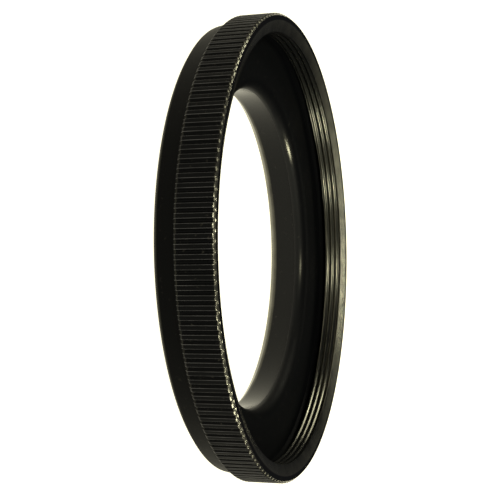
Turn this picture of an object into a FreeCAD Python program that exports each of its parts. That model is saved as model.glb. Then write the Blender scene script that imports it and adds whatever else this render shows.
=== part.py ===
import FreeCAD, Part
import math
import os

# Step-up ring turned from one piece of aluminium, in millimetres.
# The ring lies on the end of its rear thread: +Z is the ring's axis and points out of its front.
# The origin is on the axis, at the end of the rear thread.

# Threads: the front one takes the larger filter, the rear one screws into the smaller lens thread
front_thread_d = 58.0
thread_step = 12.0
thread_pitch = 0.75

# Grip band, knurled straight along the axis, from the front face backwards
grip_wall = 2.0
grip_length = 5.0
rim_edge_break = 0.3
grip_rear_break = 0.3
knurl_pitch = 1.14
knurl_depth = 0.25
knurl_groove_width = 0.56
knurl_floor_width = 0.16

# Smooth neck behind the grip: a step down from the knurl's floor, then a slight taper
neck_length = 2.9
neck_step = 0.4
neck_taper = 0.6
neck_edge_break = 0.4

# Front opening: flat rim, lead-in cone, thread, relief, and a dished floor down to the bore
rim_flat = 0.7
lead_in_depth = 0.5
front_thread_length = 2.4
front_relief_width = 1.0
front_relief_depth = 0.2
cup_corner_break = 0.5
cup_dish = 0.4

# Light path through the rear thread
bore_wall = 1.5
bore_nose_round = 1.8
bore_rear_break = 0.7

# Rear thread
rear_thread_length = 2.0
rear_relief_width = 0.5
rear_relief_depth = 0.5
rear_thread_break = 0.35

# Radii that follow
THREAD_HEIGHT_SHARE = 5 * math.sqrt(3) / 16
outer_r = front_thread_d / 2 + grip_wall
blank_r = outer_r + knurl_depth
knurl_floor_r = outer_r - knurl_depth
rim_outer_r = outer_r - rim_edge_break
lead_in_r = rim_outer_r - rim_flat
front_crest_r = front_thread_d / 2 - THREAD_HEIGHT_SHARE * thread_pitch
front_relief_r = front_thread_d / 2 + front_relief_depth
neck_front_r = knurl_floor_r - neck_step
neck_rear_r = neck_front_r - neck_taper
rear_crest_r = (front_thread_d - thread_step) / 2
rear_relief_r = rear_crest_r - rear_relief_depth
bore_r = rear_crest_r - bore_wall

# Heights that follow
shoulder_z = rear_thread_length
grip_rear_z = shoulder_z + neck_length
front_z = grip_rear_z + grip_length
lead_in_end_z = front_z - lead_in_depth
front_thread_end_z = lead_in_end_z - front_thread_length
cup_edge_z = front_thread_end_z - front_relief_width
cup_floor_z = cup_edge_z - cup_dish
neck_slope = neck_taper / neck_length


def rounded_outline(corners):
    """Closed wire in the XZ plane through (radius, height, round) corners, round 0 staying sharp."""
    points = [FreeCAD.Vector(r, 0, z) for r, z, size in corners]
    ends = []
    edges = []
    for index, (r, z, size) in enumerate(corners):
        corner = points[index]
        if size == 0:
            ends.append((corner, corner))
            continue
        back = (points[index - 1] - corner).normalize()
        ahead = (points[(index + 1) % len(points)] - corner).normalize()
        half_angle = back.getAngle(ahead) / 2
        start = corner + back * (size / math.tan(half_angle))
        end = corner + ahead * (size / math.tan(half_angle))
        to_centre = (back + ahead).normalize()
        middle = corner + to_centre * (size / math.sin(half_angle) - size)
        edges.append(Part.Arc(start, middle, end).toShape())
        ends.append((start, end))
    for index in range(len(ends)):
        start = ends[index][1]
        end = ends[(index + 1) % len(ends)][0]
        edges.append(Part.LineSegment(start, end).toShape())
    return Part.Wire(Part.__sortEdges__(edges))


def blank():
    """The turned blank: its half section swept round the axis, with the band still oversize."""
    corners = [
        (bore_r + bore_rear_break, 0, 0),
        (rear_crest_r - rear_thread_break, 0, 0),
        (rear_crest_r, rear_thread_break, 0),
        (rear_crest_r, shoulder_z - rear_relief_width, 0),
        (rear_relief_r, shoulder_z - rear_relief_width, 0),
        (rear_relief_r, shoulder_z, 0),
        (neck_rear_r - neck_edge_break, shoulder_z, 0),
        (neck_rear_r + neck_slope * neck_edge_break, shoulder_z + neck_edge_break, 0),
        (neck_front_r, grip_rear_z, 0),
        (blank_r, grip_rear_z, 0),
        (blank_r, front_z, 0),
        (lead_in_r, front_z, 0),
        (front_crest_r, lead_in_end_z, 0),
        (front_crest_r, front_thread_end_z, 0),
        (front_relief_r, front_thread_end_z, 0),
        (front_relief_r, cup_edge_z + cup_corner_break, 0),
        (front_relief_r - cup_corner_break, cup_edge_z, 0),
        (bore_r, cup_floor_z, bore_nose_round),
        (bore_r, bore_rear_break, 0),
    ]
    section = Part.Face(rounded_outline(corners))
    return section.revolve(FreeCAD.Vector(0, 0, 0), FreeCAD.Vector(0, 0, 1), 360)


def ring_polygon(count, flat_r, height):
    """Regular polygon whose sides touch the radius flat_r, each side square to one tooth."""
    corner_r = flat_r / math.cos(math.pi / count)
    points = []
    for index in range(count):
        angle = 2 * math.pi * (index + 0.5) / count
        points.append(FreeCAD.Vector(corner_r * math.cos(angle), corner_r * math.sin(angle), height))
    return Part.makePolygon(points + points[:1])


def grip_envelope(count, margin):
    """The band before knurling: one flat per tooth, with both end edges broken at 45 degrees."""
    levels = [
        (outer_r - grip_rear_break, grip_rear_z),
        (outer_r, grip_rear_z + grip_rear_break),
        (outer_r, front_z - rim_edge_break),
        (rim_outer_r - margin, front_z + margin),
    ]
    return Part.makeLoft([ring_polygon(count, r, z) for r, z in levels], True, True)


def knurl_outline(count, reach):
    """Star-shaped outline that the grooves leave, drawn past the band to the radius reach."""
    floor_half = knurl_floor_width / 2
    slope = (knurl_groove_width / 2 - floor_half) / knurl_depth
    mouth_half = floor_half + slope * (reach - knurl_floor_r)
    points = []
    for index in range(count):
        angle = 2 * math.pi * (index + 0.5) / count
        out = FreeCAD.Vector(math.cos(angle), math.sin(angle), 0)
        along = FreeCAD.Vector(-math.sin(angle), math.cos(angle), 0)
        points.append(out * reach - along * mouth_half)
        points.append(out * knurl_floor_r - along * floor_half)
        points.append(out * knurl_floor_r + along * floor_half)
        points.append(out * reach + along * mouth_half)
    return Part.makePolygon(points + points[:1])


def knurl_cutter():
    """Everything that the knurling and the edge breaks take off the band, as one collar."""
    margin = knurl_depth
    count = round(2 * math.pi * outer_r / knurl_pitch)
    outline = Part.Face(knurl_outline(count, outer_r + margin))
    outline.translate(FreeCAD.Vector(0, 0, grip_rear_z))
    star = outline.extrude(FreeCAD.Vector(0, 0, grip_length + margin))
    teeth = star.common(grip_envelope(count, margin))
    base = FreeCAD.Vector(0, 0, grip_rear_z)
    return Part.makeCylinder(blank_r + margin, grip_length + margin, base).cut(teeth)


def ring():
    return blank().cut(knurl_cutter()).Solids[0]


os.makedirs("parts", exist_ok=True)
step_up_ring = ring()
step_up_ring.exportStep("parts/step_up_ring.step")
box = step_up_ring.optimalBoundingBox(False)
print("step_up_ring: %.3f x %.3f x %.3f mm, %.2f cm3, %d faces, valid %s" % (
    box.XLength, box.YLength, box.ZLength, step_up_ring.Volume / 1000,
    len(step_up_ring.Faces), step_up_ring.isValid()))
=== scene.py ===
import math
import bpy
import bmesh
from mathutils import Matrix, Vector


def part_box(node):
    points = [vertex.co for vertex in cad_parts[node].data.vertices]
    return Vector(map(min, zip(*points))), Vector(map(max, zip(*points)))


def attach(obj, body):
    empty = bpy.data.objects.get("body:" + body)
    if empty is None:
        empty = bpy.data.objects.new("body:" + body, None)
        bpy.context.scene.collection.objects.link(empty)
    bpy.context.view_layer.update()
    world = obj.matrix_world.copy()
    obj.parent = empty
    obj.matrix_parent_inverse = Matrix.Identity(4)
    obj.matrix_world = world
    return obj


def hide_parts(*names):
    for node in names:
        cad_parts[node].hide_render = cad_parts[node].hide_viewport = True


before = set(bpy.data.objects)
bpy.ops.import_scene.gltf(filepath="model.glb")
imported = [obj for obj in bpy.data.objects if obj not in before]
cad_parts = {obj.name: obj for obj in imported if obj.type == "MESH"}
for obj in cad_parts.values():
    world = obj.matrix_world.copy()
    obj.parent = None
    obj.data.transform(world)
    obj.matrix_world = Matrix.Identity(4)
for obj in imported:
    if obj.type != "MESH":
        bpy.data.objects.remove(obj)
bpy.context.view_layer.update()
RING = "step_up_ring"
low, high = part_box(RING)

# Sizes in metres. The outer radius and the height come from the solid's box.
MM = 0.001
outer_r = (high.x - low.x) / 2
front_z = high.z

# Knurled grip band
TEETH = 171
knurl_depth = 0.25 * MM
grip_length = 5.0 * MM
edge_break = 0.3 * MM
edge_soft = 0.04 * MM
knurl_floor_r = outer_r - knurl_depth
grip_rear_z = front_z - grip_length
rim_outer_r = outer_r - edge_break

# Front opening: rim flat, lead-in, thread at its crest, relief, dished floor and rounded nose
pitch = 0.75 * MM
thread_depth = 0.22 * MM
lead_in_r = rim_outer_r - 0.7 * MM
lead_in_end_z = front_z - 0.5 * MM
front_crest_r = outer_r - 2.406 * MM
front_thread_end_z = lead_in_end_z - 2.4 * MM
front_relief_r = outer_r - 1.8 * MM
cup_edge_z = front_thread_end_z - 1.0 * MM
cup_corner = 0.5 * MM
cup_floor_z = cup_edge_z - 0.4 * MM
bore_r = outer_r - 9.5 * MM
bore_break = 0.7 * MM
nose_round = 1.8 * MM
nose_z = cup_floor_z - nose_round

# Rear thread, shoulder and neck
rear_crest_r = bore_r + 1.5 * MM
rear_break = 0.35 * MM
rear_relief_r = rear_crest_r - 0.5 * MM
rear_relief_z = 1.5 * MM
shoulder_z = 2.0 * MM
neck_break = 0.4 * MM
neck_front_r = knurl_floor_r - 0.4 * MM
neck_rear_r = neck_front_r - 0.6 * MM
small_round = 0.08 * MM

# Columns round the ring: two per tooth on the turned faces, and on the knurl one per corner of
# the tooth's section, given as millimetres along the band and below the outer radius
COARSE = TEETH * 2
TOOTH_PITCH = 1.14
# How far the tooth's top corners drop; these corners also get the painted highlight
HIGHLIT_CORNER_DROP = -0.015
TOOTH = [(-0.57, -0.25), (-0.49, -0.24), (-0.46, -0.21), (-0.31, -0.05), (-0.275, HIGHLIT_CORNER_DROP),
         (-0.23, 0.0), (0.0, 0.0), (0.23, 0.0), (0.275, HIGHLIT_CORNER_DROP), (0.31, -0.05),
         (0.46, -0.21), (0.49, -0.24)]
START = -math.pi / TEETH

# One turn of the thread's section, from crest to root and back
THREAD_SECTION = [0.0, 0.07, 0.25, 0.5, 0.75, 0.93, 1.0, 0.93, 0.75, 0.5, 0.25, 0.07]

# Painted glints on the nose, made as small spots of bare metal that mirror a lamp: azimuth and reach
# in degrees, and how much bare metal shows in place of the black
NOSE_GLINTS = [(134, 5.5, 0.22), (82, 7, 0.035)]

# Edges between faces that meet at more than this stay sharp
SHARP_ANGLE = math.radians(38)

# Zones of the surface, each with its own material
KNURL, TURNED, NECK, CUP, THREAD = 0, 1, 2, 3, 4


def rounded(corners, steps):
    """Section polyline through (radius, height, round, wear) corners; round 0 stays sharp."""
    out = []
    for i, (r, z, size, wear) in enumerate(corners):
        here = Vector((r, z))
        if size == 0 or i == 0 or i == len(corners) - 1:
            out.append((r, z, wear))
            continue
        back = (Vector(corners[i - 1][:2]) - here).normalized()
        ahead = (Vector(corners[i + 1][:2]) - here).normalized()
        half = back.angle(ahead) / 2
        start = here + back * (size / math.tan(half))
        end = here + ahead * (size / math.tan(half))
        centre = here + (back + ahead).normalized() * (size / math.sin(half))
        first = math.atan2(start.y - centre.y, start.x - centre.x)
        sweep = math.atan2(end.y - centre.y, end.x - centre.x) - first
        sweep = (sweep + math.pi) % (2 * math.pi) - math.pi
        for step in range(steps + 1):
            a = first + sweep * step / steps
            out.append((centre.x + size * math.cos(a), centre.y + size * math.sin(a), wear))
    return out


def coarse_angle(column):
    return START + 2 * math.pi * column / COARSE


class Skin:
    """Vertices in rows of columns. Rows are joined by quads, and fine rows to coarse ones by fans."""

    def __init__(self):
        self.verts, self.faces, self.mats, self.wear, self.corner_highlight = [], [], [], [], []

    def add(self, r, z, angle, wear, corner_highlight=0.0):
        self.verts.append((r * math.cos(angle), r * math.sin(angle), z))
        self.wear.append(wear)
        self.corner_highlight.append(corner_highlight)
        return len(self.verts) - 1

    def coarse(self, r, z, wear):
        return [self.add(r, z, coarse_angle(j), wear) for j in range(COARSE + 1)]

    def fine(self, r, z, wear):
        row = []
        for tooth in range(TEETH + 1):
            corners = TOOTH if tooth < TEETH else TOOTH[:1]
            for offset, drop in corners:
                angle = 2 * math.pi * (tooth + offset / TOOTH_PITCH) / TEETH
                # Top corners of each tooth get the painted highlight weight
                corner_highlight = 1.0 if drop == HIGHLIT_CORNER_DROP else 0.0
                row.append(self.add(min(r, outer_r + drop * MM), z, angle, wear, corner_highlight))
        return row

    def join(self, a, b, mat):
        """Quads between two rows that have as many columns."""
        for j in range(len(a) - 1):
            self.faces.append((a[j], a[j + 1], b[j + 1], b[j]))
            self.mats.append(mat)

    def join_all(self, rows, mat):
        for a, b in zip(rows, rows[1:]):
            self.join(a, b, mat)

    def fan(self, coarse, fine, mat, flip):
        """Triangles between a coarse row and a fine one, shared out between the coarse columns."""
        ratio = (len(fine) - 1) // (len(coarse) - 1)
        for j in range(len(coarse) - 1):
            tris = []
            for k in range(ratio):
                f = j * ratio + k
                tris.append((fine[f], fine[f + 1], coarse[j] if k < ratio // 2 else coarse[j + 1]))
            tris.append((coarse[j + 1], coarse[j], fine[j * ratio + ratio // 2]))
            for tri in tris:
                self.faces.append(tri[::-1] if flip else tri)
                self.mats.append(mat)


def thread_rows(skin, crest, z_lo, z_hi, side, wear):
    """Right-handed helical thread between two heights; side -1 cuts a male thread, +1 a female one."""
    per_turn = len(THREAD_SECTION)
    turns = math.ceil((z_hi - z_lo) / pitch) + 1
    run_out = 0.3 * pitch
    rows = []
    for k in range(turns * per_turn + 1):
        row = []
        cut = THREAD_SECTION[k % per_turn]
        for j in range(COARSE + 1):
            z = z_lo + pitch * (k / per_turn - 1 + j / COARSE)
            z = min(max(z, z_lo), z_hi)
            fade = min(1.0, (z - z_lo) / run_out, (z_hi - z) / run_out)
            r = crest + side * thread_depth * cut * fade
            row.append(skin.add(r, z, coarse_angle(j), wear * (1 - 0.5 * cut)))
        rows.append(row)
    return rows


def paint_nose_glints(skin, row):
    """Two small painted glints on the nose, made as spots of bare metal that mirror a lamp, each
    fading out along the row.
    """
    for azimuth, reach, amount in NOSE_GLINTS:
        for j, index in enumerate(row):
            away = (math.degrees(coarse_angle(j)) - azimuth) / reach
            skin.wear[index] += amount * math.exp(-away * away)


def rear_and_neck(skin):
    """From the bore's rear break over the male thread, shoulder and neck; gives the last row."""
    rear = [
        (bore_r + bore_break, 0.0, 0.7),
        (bore_r + bore_break + edge_soft, 0.0, 0.4),
        (bore_r + bore_break + 0.1 * MM, 0.0, 0.0),
        (rear_crest_r - rear_break, 0.0, 0.2),
        (rear_crest_r - 0.02 * MM, rear_break - 0.02 * MM, 0.2),
        (rear_crest_r, rear_break, 0.2),
    ]
    rows = [skin.coarse(*point) for point in rear]
    skin.join_all(rows, TURNED)
    male = thread_rows(skin, rear_crest_r, rear_break, rear_relief_z, -1, 0.4)
    skin.join(rows[-1], male[0], TURNED)
    skin.join_all(male, THREAD)
    back = rounded([
        (rear_crest_r, rear_relief_z, 0, 0.1),
        (rear_relief_r, rear_relief_z, small_round, 0.0),
        (rear_relief_r, shoulder_z, small_round, 0.0),
        (neck_rear_r - neck_break, shoulder_z, small_round, 0.1),
        (neck_rear_r + 0.104 * MM, shoulder_z + neck_break, 0.2 * MM, 0.04),
        (neck_rear_r + 0.15 * MM, shoulder_z + 0.6 * MM, 0, 0.0),
        (neck_front_r, grip_rear_z, 0, 0.0),
    ], 3)
    rows = [skin.coarse(*point) for point in back]
    skin.join(male[-1], rows[0], TURNED)
    skin.join_all(rows, NECK)
    return rows[-1]


def grip_band(skin):
    """The knurled band with both end edges broken: its rows from the neck to the rim."""
    e = edge_soft
    band = [
        (outer_r - edge_break, grip_rear_z, 0.0),
        (outer_r - edge_break + e, grip_rear_z + e * 0.4, 0.0),
        (outer_r - e, grip_rear_z + edge_break - e * 0.4, 0.04),
        (outer_r, grip_rear_z + edge_break + e, 0.0),
        (outer_r, grip_rear_z + edge_break + e * 4, 0.0),
        (outer_r, front_z - edge_break - e * 4, 0.0),
        (outer_r, front_z - edge_break - e, 0.03),
        (outer_r - e * 0.7, front_z - edge_break + e * 0.2, 0.3),
        (outer_r - edge_break * 0.5, front_z - edge_break * 0.5, 1.0),
        (rim_outer_r + e * 0.4, front_z - e * 0.8, 1.0),
        (rim_outer_r - e * 0.5, front_z, 0.5),
        (rim_outer_r - e * 1.5, front_z, 0.0),
    ]
    rows = [skin.fine(*point) for point in band]
    skin.join_all(rows, KNURL)
    return rows


def rim_and_inside(skin, band_end):
    """Rim flat and lead-in, female thread, relief, dished floor, nose and bore."""
    front = rounded([
        (rim_outer_r - 0.1 * MM, front_z, 0, 0.0),
        (lead_in_r + 0.12 * MM, front_z, 0, 0.0),
        (lead_in_r, front_z, small_round, 1.0),
        (front_crest_r, lead_in_end_z, 0, 0.6),
    ], 3)
    rows = [skin.coarse(*point) for point in front]
    skin.fan(rows[0], band_end, TURNED, True)
    skin.join_all(rows, TURNED)
    female = thread_rows(skin, front_crest_r, front_thread_end_z, lead_in_end_z, 1, 0.5)
    female.reverse()
    skin.join(rows[-1], female[0], TURNED)
    skin.join_all(female, THREAD)
    inside = rounded([
        (front_crest_r, front_thread_end_z, 0, 0.1),
        (front_relief_r, front_thread_end_z, 0.06 * MM, 0.0),
        (front_relief_r, cup_edge_z + cup_corner, 0.1 * MM, 0.0),
        (front_relief_r - cup_corner, cup_edge_z, 0.1 * MM, 0.0),
        (bore_r + 2.6 * MM, cup_floor_z + 0.135 * MM, 0, 0.0),
        (bore_r, cup_floor_z, nose_round, 0.0),
        (bore_r, nose_z - 0.5 * MM, 0, 0.0),
        (bore_r, bore_break + 0.4 * MM, 0, 0.0),
        (bore_r, bore_break, 0.25 * MM, 0.2),
        (bore_r + bore_break, 0.0, 0, 0.7),
    ], 9)
    rows = [skin.coarse(*point) for point in inside]
    skin.join(female[-1], rows[0], CUP)
    # Painted glints on the nose rows, added to the bare metal weight
    for row, (r, z, wear) in zip(rows, inside):
        if nose_z + 0.5 * MM < z < cup_floor_z - 0.3 * MM:
            paint_nose_glints(skin, row)
    for a, b, (r, z, wear) in zip(rows, rows[1:], inside[1:]):
        skin.join(a, b, CUP if z > nose_z else TURNED)


def build_ring():
    """One closed skin in the solid's form, with its weights on the vertices: bare metal from use
    together with painted glints, and the painted highlight on the tooth corners.
    """
    skin = Skin()
    neck_end = rear_and_neck(skin)
    band = grip_band(skin)
    skin.fan(neck_end, band[0], KNURL, False)
    rim_and_inside(skin, band[-1])

    mesh = bpy.data.meshes.new("ring_skin")
    mesh.from_pydata(skin.verts, [], skin.faces)
    mesh.polygons.foreach_set("material_index", skin.mats)
    # Vertex weights: bare metal from use together with the painted nose glints, and the painted
    # highlight on the tooth corners
    for name, weights in (("wear", skin.wear), ("corner_highlight", skin.corner_highlight)):
        mesh.attributes.new(name, "FLOAT", "POINT").data.foreach_set("value", weights)
    work = bmesh.new()
    work.from_mesh(mesh)
    bmesh.ops.remove_doubles(work, verts=work.verts, dist=2e-8)
    bmesh.ops.dissolve_degenerate(work, edges=work.edges, dist=1e-8)
    bmesh.ops.triangulate(work, faces=work.faces)
    bmesh.ops.recalc_face_normals(work, faces=work.faces)
    for edge in work.edges:
        edge.smooth = len(edge.link_faces) == 2 and edge.calc_face_angle(0.0) < SHARP_ANGLE
    work.to_mesh(mesh)
    work.free()
    for poly in mesh.polygons:
        poly.use_smooth = True
    ring = bpy.data.objects.new("ring_skin", mesh)
    bpy.context.scene.collection.objects.link(ring)
    return ring


BARE_METAL = (0.45, 0.44, 0.36, 1)
# Lighter colour painted on the tooth corners as a highlight
HIGHLIGHT_GREY = (0.045, 0.045, 0.05, 1)
DUST = (0.12, 0.11, 0.09, 1)

# Soft panels: name, place, width, height and watts
WARM = (1.0, 0.97, 0.76)
PANELS = [
    ("window_a", (0.5, -0.06, 0.32), 0.12, 0.12, 1.2),
    ("window_b", (0.29, -0.34, 0.4), 0.06, 0.12, 0.85),
    ("window_c", (-0.115, -0.405, 0.427), 0.08, 0.12, 1.1),
    ("top_a", (0.077, 0.344, 0.485), 0.03, 0.06, 0.2),
    ("top_b", (-0.03, 0.327, 0.502), 0.03, 0.06, 0.25),
    ("left_back", (-0.5, 0.42, 0.5), 0.25, 0.3, 1.2),
    ("left_high", (-0.4, 0.2, 0.39), 0.1, 0.1, 0.32),
]


def node(tree, kind, **inputs):
    """A shader node with its input values set by name (spaces written as underscores)."""
    made = tree.nodes.new(kind)
    for name, value in inputs.items():
        made.inputs[name.replace("_", " ")].default_value = value
    return made


def math_node(tree, operation, a, b=None, clamp=False):
    """A maths node on two values or outputs; gives its output."""
    made = tree.nodes.new("ShaderNodeMath")
    made.operation = operation
    made.use_clamp = clamp
    for socket, value in zip(made.inputs, (a, b)):
        if hasattr(value, "is_output"):
            tree.links.new(value, socket)
        elif value is not None:
            socket.default_value = value
    return made.outputs[0]


def noise(tree, vector, scale, detail):
    made = node(tree, "ShaderNodeTexNoise", Scale=scale, Detail=detail)
    tree.links.new(vector, made.inputs["Vector"])
    return made.outputs["Fac"]


def weight(tree, name):
    made = tree.nodes.new("ShaderNodeAttribute")
    made.attribute_name = name
    return made.outputs["Fac"]


def turning_section(tree, split):
    """Radius and height of a point, so that marks run round the ring as a lathe leaves them."""
    x_squared = math_node(tree, "MULTIPLY", split.outputs["X"], split.outputs["X"])
    y_squared = math_node(tree, "MULTIPLY", split.outputs["Y"], split.outputs["Y"])
    radius = math_node(tree, "SQRT", math_node(tree, "ADD", x_squared, y_squared))
    section = tree.nodes.new("ShaderNodeCombineXYZ")
    tree.links.new(radius, section.inputs["X"])
    tree.links.new(split.outputs["Z"], section.inputs["Y"])
    return section.outputs[0]


def anodised(name, base, rough, specular, dust_level, matt=None):
    """Black anodised aluminium with turning marks, dull patches, dust and bare metal where the black
    has come off; the bare metal also makes painted glints on the nose, and a lighter colour is painted
    on the tooth corners as a highlight.

    matt holds two heights and the specular level that the surface falls to between them.
    """
    mat = bpy.data.materials.new(name)
    mat.use_nodes = True
    tree = mat.node_tree
    tree.nodes.clear()
    link = tree.links.new
    out = tree.nodes.new("ShaderNodeOutputMaterial")
    black = node(tree, "ShaderNodeBsdfPrincipled", Base_Color=(base * 0.9, base, base * 1.25, 1))
    black.inputs["Specular IOR Level"].default_value = specular
    bare = node(tree, "ShaderNodeBsdfPrincipled", Base_Color=BARE_METAL, Metallic=1.0, Roughness=0.22)
    highlight_shader = node(tree, "ShaderNodeBsdfPrincipled", Base_Color=HIGHLIGHT_GREY, Roughness=0.5)
    dust = node(tree, "ShaderNodeBsdfPrincipled", Base_Color=DUST, Roughness=0.9)
    point = tree.nodes.new("ShaderNodeTexCoord").outputs["Object"]
    split = tree.nodes.new("ShaderNodeSeparateXYZ")
    link(point, split.inputs[0])
    if matt:
        fall = tree.nodes.new("ShaderNodeMapRange")
        fall.interpolation_type = "SMOOTHSTEP"
        for socket, value in zip(fall.inputs[1:5], (matt[0], matt[1], specular, matt[2])):
            socket.default_value = value
        link(split.outputs["Z"], fall.inputs[0])
        link(fall.outputs[0], black.inputs["Specular IOR Level"])

    # Dull patches, turning marks and grain
    patches = math_node(tree, "MULTIPLY", noise(tree, point, 260.0, 5.0), 0.16)
    link(math_node(tree, "ADD", patches, rough - 0.08, True), black.inputs["Roughness"])
    marks = math_node(tree, "MULTIPLY", noise(tree, turning_section(tree, split), 9000.0, 2.0), 0.7)
    bump = node(tree, "ShaderNodeBump", Strength=0.22, Distance=0.00002)
    link(math_node(tree, "ADD", marks, noise(tree, point, 4200.0, 2.0)), bump.inputs["Height"])
    link(bump.outputs[0], black.inputs["Normal"])
    link(bump.outputs[0], bare.inputs["Normal"])

    # How much of the bare metal (from use, and as the painted nose glints), the lighter colour painted
    # as highlight on the tooth corners and the dust shows
    scuff_and_highlight_noise = noise(tree, point, 500.0, 3.0)
    # Bare metal shows at used edges and as the painted glints on the nose
    wear_and_glint_mix = math_node(tree, "ADD", math_node(tree, "MULTIPLY", scuff_and_highlight_noise, 0.8), 0.25)
    wear_and_glint_mix = math_node(tree, "MULTIPLY", wear_and_glint_mix, weight(tree, "wear"), True)
    # Lighter colour painted as highlight on the tooth corners
    corner_highlight_mix = math_node(tree, "MULTIPLY", scuff_and_highlight_noise, 1.5)
    corner_highlight_mix = math_node(tree, "MULTIPLY", weight(tree, "corner_highlight"), corner_highlight_mix, True)
    specks = math_node(tree, "SUBTRACT", noise(tree, point, 1500.0, 3.0), 0.66)
    dusty = math_node(tree, "MULTIPLY", specks, 9.0, True)
    dusty = math_node(tree, "MULTIPLY", dusty, dust_level)
    shader = black
    for amount, over in ((corner_highlight_mix, highlight_shader), (dusty, dust), (wear_and_glint_mix, bare)):
        mix = tree.nodes.new("ShaderNodeMixShader")
        link(amount, mix.inputs[0])
        link(shader.outputs[0], mix.inputs[1])
        link(over.outputs[0], mix.inputs[2])
        shader = mix
    link(shader.outputs[0], out.inputs["Surface"])
    return mat


def floor():
    """Pale floor that shines a little by itself, so that the ring stands on plain white."""
    half = 4.0
    corners = [(-half, -half, 0), (half, -half, 0), (half, half, 0), (-half, half, 0)]
    mesh = bpy.data.meshes.new("floor")
    mesh.from_pydata(corners, [], [(0, 1, 2, 3)])
    sheet = bpy.data.objects.new("floor", mesh)
    bpy.context.scene.collection.objects.link(sheet)
    mat = bpy.data.materials.new("floor_white")
    mat.use_nodes = True
    shader = mat.node_tree.nodes["Principled BSDF"]
    shader.inputs["Base Color"].default_value = (0.3, 0.3, 0.3, 1)
    shader.inputs["Roughness"].default_value = 1.0
    shader.inputs["Specular IOR Level"].default_value = 0.0
    shader.inputs["Emission Color"].default_value = (1, 0.95, 0.74, 1)
    shader.inputs["Emission Strength"].default_value = 1.35
    mesh.materials.append(mat)


def lights():
    """Dim surroundings and soft panels that face the ring from half a metre or so."""
    world = bpy.data.worlds.new("studio")
    world.use_nodes = True
    background = world.node_tree.nodes["Background"]
    background.inputs["Color"].default_value = (1, 1, 1, 1)
    background.inputs["Strength"].default_value = 0.03
    bpy.context.scene.world = world
    for name, place, wide, tall, watts in PANELS:
        light = bpy.data.lights.new(name, "AREA")
        light.shape = "RECTANGLE"
        light.size = wide
        light.size_y = tall
        light.energy = watts
        light.color = WARM
        lamp = bpy.data.objects.new(name, light)
        lamp.location = place
        lamp.rotation_mode = "QUATERNION"
        lamp.rotation_quaternion = Vector(place).to_track_quat("Z", "Y")
        bpy.context.scene.collection.objects.link(lamp)


def camera():
    """Camera at the photo's angle, low over the floor and rolled so that the axis runs right."""
    elevation = math.radians(18.1)
    roll = math.radians(89.11)
    forward = Vector((0, math.cos(elevation), -math.sin(elevation)))
    side = Vector((1, 0, 0))
    up = Vector((0, math.sin(elevation), math.cos(elevation)))
    right = math.cos(roll) * side + math.sin(roll) * up
    down = math.sin(roll) * side - math.cos(roll) * up
    aim = 0.1883 * right - 0.009 * down
    place = Vector((0, 0, front_z)) - outer_r * (aim + 5.0 * forward)
    data = bpy.data.cameras.new("camera")
    data.sensor_width = 36.0
    data.lens = 2.314 * data.sensor_width
    data.clip_start = 0.005
    data.clip_end = 50.0
    cam = bpy.data.objects.new("camera", data)
    cam.matrix_world = Matrix((
        (right.x, -down.x, -forward.x, place.x),
        (right.y, -down.y, -forward.y, place.y),
        (right.z, -down.z, -forward.z, place.z),
        (0, 0, 0, 1)))
    bpy.context.scene.collection.objects.link(cam)
    bpy.context.scene.camera = cam


ring = build_ring()
nose_matt = (nose_z + 0.2 * MM, cup_floor_z - 0.1 * MM, 0.025)
for material in (
        anodised("anodised_grip", 0.0019, 0.5, 0.035, 0.15),
        anodised("anodised_inside", 0.0025, 0.2, 0.125, 0.1),
        anodised("anodised_neck", 0.0012, 0.5, 0.025, 0.05),
        anodised("anodised_cup", 0.003, 0.5, 0.26, 0.1, nose_matt),
        anodised("anodised_thread", 0.002, 0.34, 0.095, 0.1)):
    ring.data.materials.append(material)
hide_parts(RING)
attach(ring, "root")
floor()
lights()
camera()
scene = bpy.context.scene
scene.view_settings.view_transform = "Standard"
print("ring triangles", len(ring.data.polygons))
